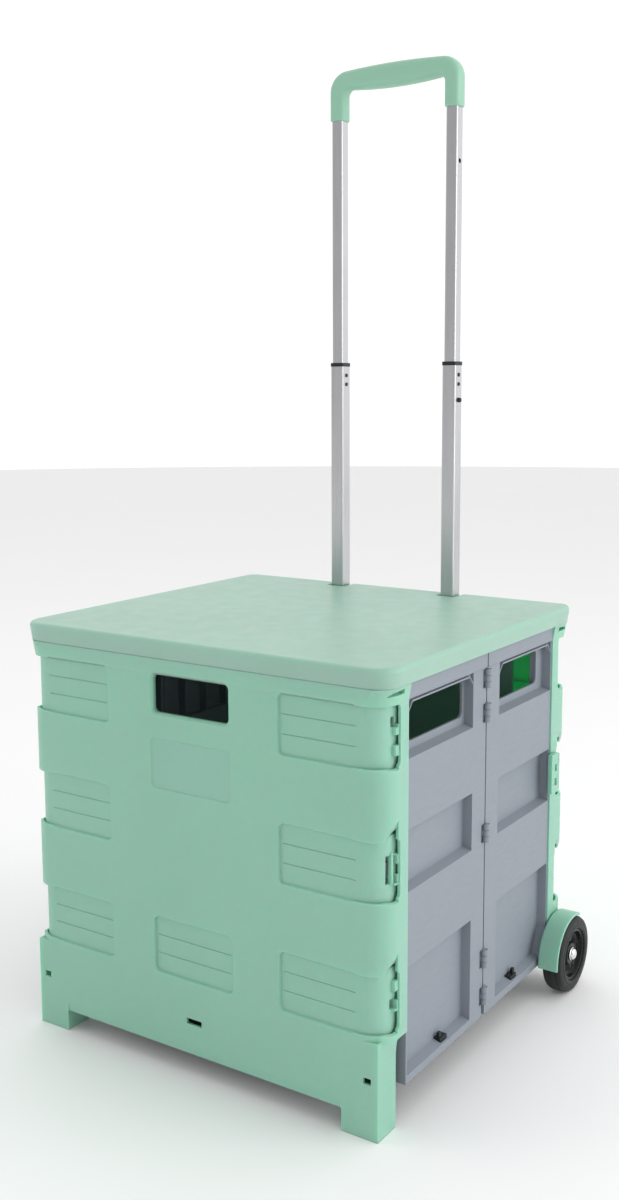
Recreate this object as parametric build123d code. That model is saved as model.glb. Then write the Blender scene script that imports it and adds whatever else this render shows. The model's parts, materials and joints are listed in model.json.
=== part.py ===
"""Folding shopping cart: a two-tray crate with hinged side walls, a lid, wheels and a telescopic handle.

The cart stands on the floor (z = 0) with +Z up, +X to its right seen from the front and +Y to the handle.
Sizes are in millimetres. Everything is built with y measured back from the front face, and save() then
moves it so that the origin is on the floor at the middle of the whole cart.
"""

from build123d import *
import math
import os

os.makedirs("parts", exist_ok=True)

# ---- body ---------------------------------------------------------------------------------------
BODY_WIDTH = 411.0  # over the raised bands of the two trays
BODY_DEPTH = 380.0  # front face to rear face
TRAY_DEPTH = 40.0  # front tray and rear tray alike
RIM_TOP = 395.9  # top edge of both trays
WALL = 3.0
CORNER_RADIUS = 22.0
REAR_CORNER_RADIUS = 15.0
BAND_STEP = 5.5  # how far the corner bands stand out over the boxes and the feet
FRONT_BOTTOM = 20.9  # lower edge of the front tray, between its feet
BAND_BEVEL_ABOVE = 16.0
BAND_BEVEL_BELOW = 3.0
BAND_BOTTOM = 86.0  # below this the front tray is narrow, down to its feet
RIM_BAND = 14.9  # height of the thicker band under the rim, which leans outwards
RIM_FLARE = 2.5
RIM_FLARE_FRONT = 0.5

# ---- boxes pressed into the trays ------------------------------------------------------------------
BOX_HEIGHT = 53.4
BOX_TOP_MARGIN = 15.0  # from the rim to the top row
BOX_BOTTOM_MARGIN = 7.9  # from the foot of the bands to the low row
BOX_MIDDLE_RISE = 0.8  # middle row, above the mean of the other two
BOX_LENGTH = 106.8  # along the front, from the corner
BOX_DEPTH = 2.5
BOX_SIDE_REACH = 27.0  # how far back along the side a box runs
BOX_CORNER = 5.0
BOX_DRAFT = 1.2
PANEL_HALF = 45.6  # half width of the hand hole, the blank plate and the low middle box
HAND_HOLE_HEIGHT = 40.0
HAND_HOLE_RISE = 1.8  # its upper edge, above the top row of boxes
PLATE_HEIGHT = 47.1
PLATE_DROP = 22.0  # from the hand hole down to the blank plate
PLATE_DEPTH = 0.9
STEP_HEIGHT = 0.9  # the moulded step lines inside each box
STEP_DEPTH = 0.7
RIM_BEVEL = 2.0  # round the hand hole
MOULD_HOLE_Z = (50.5, 56.5)
MOULD_HOLE_HALF = (9.0, 4.0)  # half width of the middle one and of the two at the feet
MOULD_HOLE_INSET = 11.0  # from the outside of a foot
POCKET_Y = (19.0, 25.0)  # square holes in the side of the top and low boxes
POCKET_HEIGHT = 9.0
POCKET_DROP = (15.4, None, 29.8)  # from the top of each row to its square hole
CATCH_SLOT_Y = (14.0, 25.0)  # slot with the catch bar, in the side of the middle box
CATCH_SLOT_HEIGHT = 25.0
CATCH_BAR_Y = (19.0, 22.0)

# ---- front feet -----------------------------------------------------------------------------------
FOOT_WIDTH = 37.0
FOOT_DEPTH = 30.0

# ---- floor ----------------------------------------------------------------------------------------
FLOOR_TOP = 35.0
FLOOR_THICKNESS = 5.0
FLOOR_RIB = 6.0
FLOOR_RIB_THICKNESS = 3.0
FLOOR_RIBS = 7  # each way
FLOOR_MARGIN = 8.0  # between the floor and the side walls
FLOOR_END_GAP = 3.2  # between the floor and the inner panel
FLOOR_CORNER = 10.0
FLOOR_HINGE_Y = 12.0
FLOOR_BARREL_RADIUS = 4.5
FLOOR_HINGE_INSET = 34.0  # outer floor hinges, from the floor's edge
FLOOR_HINGE_INNER_X = 50.0
FLOOR_LUG_LENGTH = 12.0
FLOOR_EAR = 5.0
UNDER_WALL_GAP = 0.5  # between the floor and the side walls above it
UNDER_TRAY_GAP = 1.0  # between the floor and the rear tray above it
LEDGE_BOTTOM = 26.0
LEDGE_LENGTH = 12.0
LEDGE_GAP = 0.3

# ---- folding side walls ---------------------------------------------------------------------------
SIDE_INSET = 1.5  # outer face of a side wall, inside the bands of the trays
SIDE_TOP_DROP = 1.2  # top edge, below the rims of the trays
SIDE_THICKNESS = 12.0
SIDE_SKIN = 2.5
SIDE_EDGE = 4.0  # walls round a half's hollow back
SIDE_GAP = 0.3  # between a side wall and the tray beside it
MID_GAP = 2.0  # between the two halves of one side
MID_PIN_PROUD = 1.5  # middle hinge line, outside the side wall's outer face
MID_KNUCKLE_RADIUS = 3.5
MID_KNUCKLE_HEIGHT = 18.0
MID_ROWS_FROM_TOP = (23.7, 56.7)
MID_ROWS_FROM_BOTTOM = (59.5, 21.5)
MID_ROW_RISE = 5.4  # the row between them, above half height
MID_GROOVE = (3.0, 7.5)  # beside each row, in front of the hinge line
MID_GROOVE_DEPTH = 2.0
MID_FOOT_NOTCH = (3.0, 3.5)  # in front of the hinge line and behind it
CORNER_PIN_INSET = 2.5  # corner hinge line, inside the side wall's inner face
CORNER_KNUCKLE_RADIUS = 4.0
CORNER_KNUCKLE_HEIGHT = 27.0
CORNER_ROW_FROM_TOP = 44.7
CORNER_ROW_FROM_BOTTOM = 89.5
FOLDED_TRAY_GAP = 1.0  # between the two trays when the cart is folded flat
STILE_DEPTH = 28.0
STILE_THICKNESS = 5.0
STILE_MARGINS = (64.5, 8.7)  # from a side wall's lower and top edges
SIDE_BOX_END = 26.5  # from a half's middle edge to its recesses
SIDE_BOX_START = 2.0  # from a half's outer edge
SIDE_LOW_BOX = (7.5, 107.0)  # from the lower edge
SIDE_MID_BOX_HEIGHT = 55.4
SIDE_MID_BOX_RISE = 2.85  # above the mean of the boxes over and under it
SIDE_WINDOW_BOX_HEIGHT = 52.4
SIDE_BOX_DRAFT = 3.0
SIDE_BOX_CUT_CORNER = (14.0, 30.0)  # of the low recess beside the wheel, along and up
WINDOW_MARGINS = (10.0, 6.9)  # inside its recess, below and above
WINDOW_ENDS = (15.2, 4.0)  # inside its recess, towards the tray and towards the middle
WINDOW_CORNER = 6.0
SIDE_RIM_PROUD = 1.2
SIDE_RIM_HEIGHT = 13.2
LIP_BEAD = 1.6
TAB_FROM_MIDDLE = 75.0  # locating tabs along the foot of the side walls
TAB_RISE = 6.5
TAB_SIZE = (13.0, 5.0)

# ---- pins and running fits ------------------------------------------------------------------------
PIN_RADIUS = 2.0
PIN_CLEARANCE = 0.05
KNUCKLE_GAP = 0.3

# ---- lid ------------------------------------------------------------------------------------------
LID_SEAT = 0.3  # between the rims and the lid
LID_HEIGHT = 17.8
LID_SIDE_OVERHANG = 5.5
LID_FRONT_OVERHANG = 3.0
LID_REAR_OVERHANG = 1.5
LID_DRAFT = 8.0  # degrees
LID_SHELL = 3.0
LID_CORNER = 24.0
LID_REAR_CORNER = 15.0
LID_EDGE = 4.0
LID_RIBS = 5  # each way
LID_RIB_THICKNESS = 2.0
NOTCH_CLEARANCE = 3.5  # each side of a handle tube

# ---- telescopic handle ----------------------------------------------------------------------------
TUBE_X = 71.4
INNER_TUBE = (13.4, 14.4)
TUBE_WALL = 1.0
TUBE_RADIUS = 2.2
TUBE_CLEARANCE = 0.3  # between one tube and the next, all round
TUBE_SETBACK = 1.2  # between the outer tube and the rear wall
OUTER_TUBE_BOTTOM = 60.0
MIDDLE_TUBE_LENGTH = 320.0
INNER_TUBE_LENGTH = 329.0
MIDDLE_OVERLAP = 47.5  # length of the middle tube that stays inside the outer one
INNER_OVERLAP = 47.0
COLLAR_HEIGHT = 4.0
COLLAR_DROP = 0.4  # outer collars, below the rim
GLIDE_HEIGHT = 6.0
PLUG_HEIGHT = 3.0
TUBE_STROKE = 250.0
GRIP_SOCKET = 14.0
GRIP_HEIGHT = 55.0
GRIP_BAR_HEIGHT = 23.0
GRIP_BULGE = (1.5, 2.5)  # of the bar, below and in front, over a plain square bar
GRIP_WALL = 2.4
GRIP_CORNER = 20.0
GRIP_INNER_CORNER = 8.0
RIVET_DROP = (10.0, 20.0)  # below the top of the middle tube
RIVET_RADIUS = 1.6
RIVET_HEAD = (2.1, 0.7)  # radius and thickness
SCREW_RADIUS = 1.9
SCREW_HEAD = (4.0, 2.0)
BUTTON_DROP = 37.0
BUTTON_RADIUS = 2.5
BUTTON_PROUD = 3.0
CLAMP_FROM_ENDS = (40.0, 21.5)  # from the bottom and the top of the outer tube
CLAMP_MARGIN = 6.0
CLAMP_HEIGHT = 24.0
INNER_PANEL_THICKNESS = 2.0
INNER_PANEL_GAP = 1.0  # between the outer tubes and the panel in front of them
INNER_PANEL_INSET = 35.5  # its side edges, inside the corner hinges

# ---- wheels ---------------------------------------------------------------------------------------
WHEEL_RADIUS = 40.0
WHEEL_WIDTH = 22.3
WHEEL_SETBACK = 22.4  # axle, in front of the rear face
WHEEL_GAP = 0.5
TYRE_THICKNESS = 13.0
TYRE_EDGE = 4.0
AXLE_RADIUS = 4.0
AXLE_HEAD_RADIUS = 7.0
AXLE_HEAD_GAP = 0.3
WASHER_RADIUS = 9.0
BOSS_RADIUS = 10.0
FENDER_GAP = 1.2
FENDER_WALL = 2.6
FENDER_OFFSET = 2.2  # its plate, outside the side walls
FENDER_EDGE = 2.5
FENDER_PLATE_THICKNESS = 2.0
FENDER_INSET = 2.5  # its open edge, inside the wheel's outer face
FENDER_START = -5.0  # degrees above the horizontal at the front of the wheel
FENDER_END = 112.0
FENDER_WEB = (38.0, 72.0)  # height of the web that joins it to the tray

# ---- side latches ---------------------------------------------------------------------------------
LATCH_HEIGHT = 42.0
LATCH_RISE = 2.6  # its middle, above the middle row of boxes
LATCH_REACH = 14.5
LATCH_THICKNESS = 4.7
LATCH_PIVOT_OUT = 3.0  # pivot, outside the band of the rear tray
LATCH_PIVOT_BACK = 10.0  # pivot, behind the front edge of the rear tray
LATCH_EAR = (2.0, 9.0)  # each ear, from the ends of the latch
LATCH_KNUCKLE_RADIUS = 2.4
LATCH_PIN_RADIUS = 1.2
LATCH_HOLES = ((7.6, 15.5), (23.0, 30.5))  # square pockets, above its lower end
LATCH_HOLE_Y = (7.2, 13.4)  # behind its free edge
LATCH_HOLE_DEPTH = 3.2

# ---- worked out from the sizes above --------------------------------------------------------------
FAR = 1000.0  # longer than the cart, for cuts that run right through
BAND = BODY_WIDTH / 2
FOOT_X = BAND - BAND_STEP
FOOT_INNER_X = FOOT_X - FOOT_WIDTH
RIM_BAND_BOTTOM = RIM_TOP - RIM_BAND
BOX_INNER_X = BAND - BOX_LENGTH
TOP_ROW = (RIM_TOP - BOX_TOP_MARGIN - BOX_HEIGHT, RIM_TOP - BOX_TOP_MARGIN)
LOW_ROW = (BAND_BOTTOM + BOX_BOTTOM_MARGIN, BAND_BOTTOM + BOX_BOTTOM_MARGIN + BOX_HEIGHT)
MIDDLE_ROW = tuple((high + low) / 2 + BOX_MIDDLE_RISE for high, low in zip(TOP_ROW, LOW_ROW))
BOX_ROWS = (TOP_ROW, MIDDLE_ROW, LOW_ROW)
HAND_HOLE_TOP = TOP_ROW[1] + HAND_HOLE_RISE
HAND_HOLE_Z = (HAND_HOLE_TOP - HAND_HOLE_HEIGHT, HAND_HOLE_TOP)
PLATE_Z = (HAND_HOLE_Z[0] - PLATE_DROP - PLATE_HEIGHT, HAND_HOLE_Z[0] - PLATE_DROP)
SIDE_BOTTOM = FLOOR_TOP + UNDER_WALL_GAP
SIDE_TOP = RIM_TOP - SIDE_TOP_DROP
SIDE_OUT = BAND - SIDE_INSET
SIDE_IN = SIDE_OUT - SIDE_THICKNESS
SIDE_DEEP = SIDE_IN + SIDE_SKIN  # bottom of the recesses in the outer face
SIDE_WINDOW_BOX_Z = (SIDE_TOP - SIDE_RIM_HEIGHT - SIDE_WINDOW_BOX_HEIGHT, SIDE_TOP - SIDE_RIM_HEIGHT)
SIDE_LOW_BOX_Z = (SIDE_BOTTOM + SIDE_LOW_BOX[0], SIDE_BOTTOM + SIDE_LOW_BOX[1])
SIDE_MID_BOX_MIDDLE = (SIDE_LOW_BOX_Z[1] + SIDE_WINDOW_BOX_Z[0]) / 2 + SIDE_MID_BOX_RISE
SIDE_MID_BOX_LOW = SIDE_MID_BOX_MIDDLE - SIDE_MID_BOX_HEIGHT / 2
SIDE_MID_BOX_Z = (SIDE_MID_BOX_LOW, SIDE_MID_BOX_LOW + SIDE_MID_BOX_HEIGHT)
WINDOW_Z = (SIDE_WINDOW_BOX_Z[0] + WINDOW_MARGINS[0], SIDE_WINDOW_BOX_Z[1] - WINDOW_MARGINS[1])
STILE_Z = (SIDE_BOTTOM + STILE_MARGINS[0], SIDE_TOP - STILE_MARGINS[1])
MID_Y = BODY_DEPTH / 2
MID_PIN_X = SIDE_OUT + MID_PIN_PROUD
MID_HINGE_ROWS = (
    *(SIDE_TOP - drop for drop in MID_ROWS_FROM_TOP),
    (SIDE_TOP + SIDE_BOTTOM) / 2 + MID_ROW_RISE,
    *(SIDE_BOTTOM + rise for rise in MID_ROWS_FROM_BOTTOM),
)
CORNER_PIN_X = SIDE_IN - CORNER_PIN_INSET
CORNER_PIN_Y = TRAY_DEPTH + FOLDED_TRAY_GAP / 2 - (MID_PIN_X - CORNER_PIN_X)
CORNER_HIGH, CORNER_LOW = SIDE_TOP - CORNER_ROW_FROM_TOP, SIDE_BOTTOM + CORNER_ROW_FROM_BOTTOM
CORNER_HINGE_ROWS = (CORNER_HIGH, (CORNER_HIGH + CORNER_LOW) / 2, CORNER_LOW)
MIDDLE_TUBE = tuple(size + 2 * (TUBE_CLEARANCE + TUBE_WALL) for size in INNER_TUBE)
OUTER_TUBE = tuple(size + 2 * (TUBE_CLEARANCE + TUBE_WALL) for size in MIDDLE_TUBE)
TUBE_Y = BODY_DEPTH - WALL - TUBE_SETBACK - OUTER_TUBE[1] / 2
OUTER_TUBE_Z = (OUTER_TUBE_BOTTOM, RIM_TOP - COLLAR_DROP - COLLAR_HEIGHT)
MIDDLE_TUBE_LOW = OUTER_TUBE_Z[1] - MIDDLE_OVERLAP
MIDDLE_TUBE_Z = (MIDDLE_TUBE_LOW, MIDDLE_TUBE_LOW + MIDDLE_TUBE_LENGTH)
INNER_TUBE_LOW = MIDDLE_TUBE_Z[1] - INNER_OVERLAP
INNER_TUBE_Z = (INNER_TUBE_LOW, INNER_TUBE_LOW + INNER_TUBE_LENGTH)
GRIP_BOTTOM = INNER_TUBE_Z[1] - GRIP_SOCKET
GRIP_TOP = GRIP_BOTTOM + GRIP_HEIGHT
BUTTON_Z = MIDDLE_TUBE_Z[1] - BUTTON_DROP
INNER_PANEL_BACK = TUBE_Y - OUTER_TUBE[1] / 2 - INNER_PANEL_GAP
INNER_PANEL_Y = (INNER_PANEL_BACK - INNER_PANEL_THICKNESS, INNER_PANEL_BACK)
FLOOR_HALF = SIDE_IN - FLOOR_MARGIN
FLOOR_END = INNER_PANEL_Y[0] - FLOOR_END_GAP
FLOOR_HINGE_X = (FLOOR_HALF - FLOOR_HINGE_INSET, FLOOR_HINGE_INNER_X)
FLOOR_HINGE_Z = FLOOR_TOP - FLOOR_THICKNESS / 2
INNER_REACH = FLOOR_HINGE_Y - FLOOR_BARREL_RADIUS - 1.8  # rear-most reach of ribs behind the front wall
LID_BOTTOM = RIM_TOP + LID_SEAT
LID_TOP = LID_BOTTOM + LID_HEIGHT
LID_HALF = BAND + LID_SIDE_OVERHANG
FENDER_PLATE = (SIDE_OUT + FENDER_OFFSET, SIDE_OUT + FENDER_OFFSET + FENDER_PLATE_THICKNESS)
WHEEL_INNER_X = FENDER_PLATE[1] + WHEEL_GAP
WHEEL_OUTER_X = WHEEL_INNER_X + WHEEL_WIDTH
WHEEL_Y = BODY_DEPTH - WHEEL_SETBACK
TYRE_BORE_RADIUS = WHEEL_RADIUS - TYRE_THICKNESS
LATCH_MIDDLE = sum(MIDDLE_ROW) / 2 + LATCH_RISE
LATCH_Z = (LATCH_MIDDLE - LATCH_HEIGHT / 2, LATCH_MIDDLE + LATCH_HEIGHT / 2)
LATCH_PIVOT = (BAND + LATCH_PIVOT_OUT, BODY_DEPTH - TRAY_DEPTH + LATCH_PIVOT_BACK)
FRONT_EXTENT = -LID_FRONT_OVERHANG
REAR_EXTENT = max(BODY_DEPTH + LID_REAR_OVERHANG, WHEEL_Y + WHEEL_RADIUS)
ORIGIN_Y = (FRONT_EXTENT + REAR_EXTENT) / 2


def save(name, *shapes):
    """Writes one node, which may be a group of separate solids."""
    solids = [solid for shape in shapes for solid in shape.solids()]
    node = solids[0] if len(solids) == 1 else Compound(children=solids)
    export_step(Pos(0, -ORIGIN_Y, 0) * node, f"parts/{name}.step")


def block(x, y, z):
    """A box between three pairs of limits."""
    pairs = [sorted(pair) for pair in (x, y, z)]
    middle = [(low + high) / 2 for low, high in pairs]
    return Pos(*middle) * Box(*[high - low for low, high in pairs])


def post(radius, x, y, z):
    """A round bar along Z."""
    return Pos(x, y, (z[0] + z[1]) / 2) * Cylinder(radius, z[1] - z[0])


def bar_x(radius, x, y, z):
    """A round bar along X."""
    return Pos((x[0] + x[1]) / 2, y, z) * Rot(0, 90, 0) * Cylinder(radius, abs(x[1] - x[0]))


def bar_y(radius, x, y, z):
    """A round bar along Y."""
    return Pos(x, (y[0] + y[1]) / 2, z) * Rot(90, 0, 0) * Cylinder(radius, abs(y[1] - y[0]))


def left_of(shape):
    """The left-hand twin of a right-hand piece."""
    return mirror(shape, about=Plane.YZ)


def to_rear(shape):
    """The rear twin of a piece of the front, about the middle of the body."""
    return Pos(0, BODY_DEPTH, 0) * mirror(shape, about=Plane.XZ)


def widened(pair, amount):
    return (pair[0] - amount, pair[1] + amount)


def prism_y(points, y):
    """An outline of (x, z) points, run along Y between two limits."""
    outline = Plane.XZ * Polygon(*points, align=None)
    return Pos(0, y[0], 0) * extrude(outline, y[1] - y[0], dir=(0, 1, 0))


def prism_x(points, x):
    """An outline of (y, z) points, run along X between two limits."""
    outline = Plane.YZ * Polygon(*points, align=None)
    return Pos(x[0], 0, 0) * extrude(outline, x[1] - x[0], dir=(1, 0, 0))


def with_twins(shapes):
    """Right-hand pieces together with their left-hand twins."""
    return [*shapes, *[left_of(shape) for shape in shapes]]


def rounded_front(half, front, back, radius, z):
    """An upright slab with its two front corners rounded."""
    outline = RectangleRounded(2 * half, 2 * (back - front), radius)
    slab = Pos(0, back, z[0]) * extrude(outline, z[1] - z[0])
    return slab & block((-half, half), (front, back), z)


def face_plate(x, z, depth, radius, flare=0.0):
    """A rounded rectangle on the front face, going in by depth and wider at the face by flare."""
    middle = ((x[0] + x[1]) / 2, (z[0] + z[1]) / 2)
    size = (x[1] - x[0] + 2 * flare, z[1] - z[0] + 2 * flare)
    outline = Plane.XZ * Pos(middle[0], middle[1]) * RectangleRounded(*size, radius + flare)
    taper = math.degrees(math.atan2(flare, depth))
    return extrude(outline, -depth, taper=taper) if flare else extrude(outline, -depth)


# ---- trays -----------------------------------------------------------------------------------------
def corner_box(z):
    """The cut for one box, on the right-hand corner: on the front, round the corner and along the side."""
    across = face_plate((BOX_INNER_X, BAND + 20), z, BOX_SIDE_REACH, BOX_CORNER)
    length = z[1] - z[0]
    side = Plane.YZ * Pos(BOX_SIDE_REACH - 50, sum(z) / 2) * RectangleRounded(100, length, BOX_CORNER)
    return across & extrude(side, BAND + 20)


def box_steps(x, z, depth):
    """Three overlapping strips, drawn by two steps across a box."""
    pitch = (z[1] - z[0]) / 3
    marks = [z[0] + pitch, z[0] + 2 * pitch]
    return [block(x, (0, depth), (mark - STEP_HEIGHT / 2, mark + STEP_HEIGHT / 2)) for mark in marks]


def band_bevels(z):
    """The bevels of the corner bands beside a box: a long one above it and a short one below it."""
    out = BAND + 2
    cuts = []
    y = (-1, BOX_SIDE_REACH - 3)
    if z[1] + BAND_BEVEL_ABOVE < RIM_BAND_BOTTOM:
        high = z[1] + BAND_BEVEL_ABOVE
        above = [(FOOT_X, z[1] - 1), (out, z[1] - 1), (out, high), (BAND, high), (FOOT_X, z[1])]
        cuts.append(prism_y(above, y))
    low = z[0] - BAND_BEVEL_BELOW
    below = [(FOOT_X, z[0] + 1), (out, z[0] + 1), (out, low), (BAND, low), (FOOT_X, z[0])]
    cuts.append(prism_y(below, y))
    return cuts


def tray_shell(bottom, corner, ribs):
    """The open tray from a given height up, with the boxes and their bevels pressed into its corners."""
    inner_corner = corner - WALL
    flare = math.degrees(math.atan2(RIM_FLARE, RIM_BAND))
    rim_outline = RectangleRounded(2 * (BAND + RIM_FLARE), 2 * (TRAY_DEPTH + RIM_FLARE), corner + RIM_FLARE)
    rim = extrude(Pos(0, TRAY_DEPTH, RIM_TOP) * rim_outline, -RIM_BAND, taper=flare)
    shell = rounded_front(BAND, 0, TRAY_DEPTH, corner, (bottom, RIM_TOP))
    shell += rim & block((-FAR, FAR), (-RIM_FLARE_FRONT, TRAY_DEPTH), (0, RIM_TOP))
    past = TRAY_DEPTH + 1
    hollows = [
        rounded_front(BAND - WALL, WALL, past, inner_corner, (bottom - 1, RIM_BAND_BOTTOM)),
        rounded_front(BAND - 2 * WALL, WALL, past, inner_corner, (RIM_BAND_BOTTOM - 1, RIM_TOP + 1)),
    ]
    core = rounded_front(FOOT_X, BOX_DEPTH, TRAY_DEPTH, corner - BOX_DEPTH, (0, RIM_TOP))
    back_z = (-1, RIM_TOP + 1)
    backing = core - rounded_front(FOOT_X - WALL, BOX_DEPTH + WALL, past, inner_corner - WALL, back_z)
    flat_end = FOOT_X - corner
    backs = []
    cuts = []
    for z in BOX_ROWS:
        behind = block((BOX_INNER_X - WALL, BAND), (0, BOX_SIDE_REACH + WALL), widened(z, WALL))
        backs.append(backing & behind)
        cuts.append((corner_box(z) + band_bevels(z)) - core)
        cuts.append(face_plate((BOX_INNER_X, flat_end), z, BOX_DEPTH, BOX_CORNER, BOX_DRAFT))
        cuts += box_steps((BOX_INNER_X + 3, flat_end - 2), z, BOX_DEPTH + STEP_DEPTH)
    # wedge-shaped pocket under the rim at each corner
    low, high, end = RIM_TOP - 7, RIM_TOP - 2.5, TRAY_DEPTH - 10
    pocket = [(8.0, low), (end, low), (end, high), (14.0, high - 1)]
    cuts.append(prism_x(pocket, (BAND - 4, BAND + 5)))
    return ((shell - hollows) + with_twins(backs + ribs)) - with_twins(cuts)


def hinge_segments(middle, height):
    """The three knuckle lengths of one hinge row, from the bottom up."""
    third = height / 3
    edges = [middle - height / 2 + third * index for index in range(4)]
    return [widened(pair, -KNUCKLE_GAP / 2) for pair in zip(edges, edges[1:])]


def pierced(solid, radius, x, y, z):
    """A knuckle with the running hole of its pin."""
    return solid - post(radius + PIN_CLEARANCE, x, y, widened(z, 1))


def corner_lugs():
    """The tray's own knuckles for the right-hand corner hinge, each on a lug from the side of the tray."""
    lugs = []
    for row in CORNER_HINGE_ROWS:
        segments = hinge_segments(row, CORNER_KNUCKLE_HEIGHT)
        for z in (segments[0], segments[2]):
            lug = block((CORNER_PIN_X, BAND - WALL / 2), widened((CORNER_PIN_Y, CORNER_PIN_Y), 3.0), z)
            lug += post(CORNER_KNUCKLE_RADIUS, CORNER_PIN_X, CORNER_PIN_Y, z)
            lugs.append(pierced(lug, PIN_RADIUS, CORNER_PIN_X, CORNER_PIN_Y, z))
    return lugs


def low_middle_box():
    """The third box of the bottom row, between the two corners: its backing and its cuts."""
    x = (-PANEL_HALF, PANEL_HALF)
    backing = block(widened(x, WALL), (WALL / 2, BOX_DEPTH + WALL), widened(LOW_ROW, WALL))
    cuts = box_steps(widened(x, -3), LOW_ROW, BOX_DEPTH + STEP_DEPTH)
    cuts.append(face_plate(x, LOW_ROW, BOX_DEPTH, BOX_CORNER, BOX_DRAFT))
    return backing, cuts


def floor_ears():
    """Two pairs of ears behind the front wall, on the right, for the floor's hinge pins."""
    ears = []
    for x in FLOOR_HINGE_X:
        for middle in (x - FLOOR_LUG_LENGTH, x + FLOOR_LUG_LENGTH):
            ear_x = widened((middle, middle), FLOOR_EAR / 2)
            low = FLOOR_HINGE_Z - FLOOR_BARREL_RADIUS
            ear = block(ear_x, (WALL / 2, FLOOR_HINGE_Y), (low, low + 2 * FLOOR_BARREL_RADIUS))
            ear += bar_x(FLOOR_BARREL_RADIUS, ear_x, FLOOR_HINGE_Y, FLOOR_HINGE_Z)
            hole = bar_x(PIN_RADIUS + PIN_CLEARANCE, widened(ear_x, 1), FLOOR_HINGE_Y, FLOOR_HINGE_Z)
            ears.append(ear - hole)
    return ears


def narrow_foot():
    """The front tray below its bands: a flat wall, cut-back sides and two hollow feet."""
    link_top = BAND_BOTTOM + WALL
    inside = FOOT_X - WALL
    lower = block((-FOOT_X, FOOT_X), (0, FOOT_DEPTH), (FRONT_BOTTOM, link_top))
    lower -= block((-inside, inside), (WALL, FAR), (0, link_top + 1))
    # the wall that steps out from the foot to the band
    step = rounded_front(BAND, 0, TRAY_DEPTH, CORNER_RADIUS, (BAND_BOTTOM, link_top))
    step -= block((-inside, inside), (WALL, FAR), (0, FAR))
    # the side runs on down behind the foot in a sweeping curve
    sweep = TRAY_DEPTH - FOOT_DEPTH
    low = BAND_BOTTOM - 2 * sweep
    flange = block((inside, FOOT_X), (FOOT_DEPTH - 1, TRAY_DEPTH), (low, link_top))
    flange -= extrude(Plane.YZ * Pos(TRAY_DEPTH, low) * Ellipse(sweep, 2 * sweep), BAND + 20)
    foot = block((FOOT_INNER_X, FOOT_X), (0, FOOT_DEPTH), (0, FRONT_BOTTOM + WALL))
    foot -= block((FOOT_INNER_X + WALL, inside), (WALL, FOOT_DEPTH - WALL), (WALL, FAR))
    return [lower, step, *with_twins([flange, foot])]


def side_pockets():
    """Holes through the side of the right-hand boxes, and the catch bar that crosses the middle one."""
    across = (FOOT_X - 8, BAND)
    middle = sum(MIDDLE_ROW) / 2
    slot_z = widened((middle, middle), CATCH_SLOT_HEIGHT / 2)
    holes = [block(across, CATCH_SLOT_Y, slot_z)]
    for row, drop in zip(BOX_ROWS, POCKET_DROP):
        if drop:
            centre = row[1] - drop
            holes.append(block(across, POCKET_Y, widened((centre, centre), POCKET_HEIGHT / 2)))
    return holes, block((FOOT_X - WALL + 0.5, FOOT_X + 1.5), CATCH_BAR_Y, widened(slot_z, 2))


def front_panel():
    box_back, cuts = low_middle_box()
    hole_x = (-PANEL_HALF + RIM_BEVEL, PANEL_HALF - RIM_BEVEL)
    hole_z = widened(HAND_HOLE_Z, -RIM_BEVEL)
    adds = [box_back, *narrow_foot(), *with_twins(corner_lugs() + floor_ears())]
    around_hole = widened((-PANEL_HALF, PANEL_HALF), 4)
    adds.append(block(around_hole, (WALL / 2, INNER_REACH), widened(HAND_HOLE_Z, 4)))
    rib_z = (BAND_BOTTOM, RIM_BAND_BOTTOM + 2)
    ribs = []
    for share in (0.45, 0.67):
        x = FLOOR_HALF * share
        ribs.append(block((x - 1, x + 1), (WALL / 2, INNER_REACH), rib_z))
    flange_half = CORNER_PIN_X - 8
    adds.append(block((-flange_half, flange_half), (WALL / 2, 14), (RIM_TOP - WALL, RIM_TOP)))
    # hand hole with its bevelled rim, and the blank plate under it
    cuts.append(face_plate(hole_x, hole_z, TRAY_DEPTH, BOX_CORNER))
    cuts.append(face_plate(hole_x, hole_z, RIM_BEVEL, BOX_CORNER, RIM_BEVEL))
    cuts.append(face_plate((-PANEL_HALF, PANEL_HALF), PLATE_Z, PLATE_DEPTH, BOX_CORNER, 0.8))
    # rolled lower edge between the feet
    high, low = FRONT_BOTTOM + 9, FRONT_BOTTOM - 1
    lip = [(0, high), (-1, high), (-1, low), (1.5, low), (1.2, FRONT_BOTTOM)]
    cuts.append(prism_x(lip, (-FOOT_INNER_X + 1, FOOT_INNER_X - 1)))
    # square mould holes near the bottom, one in the middle and one over each foot
    over_foot = FOOT_X - MOULD_HOLE_INSET
    wide, narrow = MOULD_HOLE_HALF
    for middle, half in ((0, wide), (-over_foot, narrow), (over_foot, narrow)):
        cuts.append(block((middle - half, middle + half), (-1, WALL + 1), MOULD_HOLE_Z))
    holes, catch = side_pockets()
    shell = tray_shell(BAND_BOTTOM, CORNER_RADIUS, ribs)
    return ((shell + adds) - (cuts + with_twins(holes))) + with_twins([catch])


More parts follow.
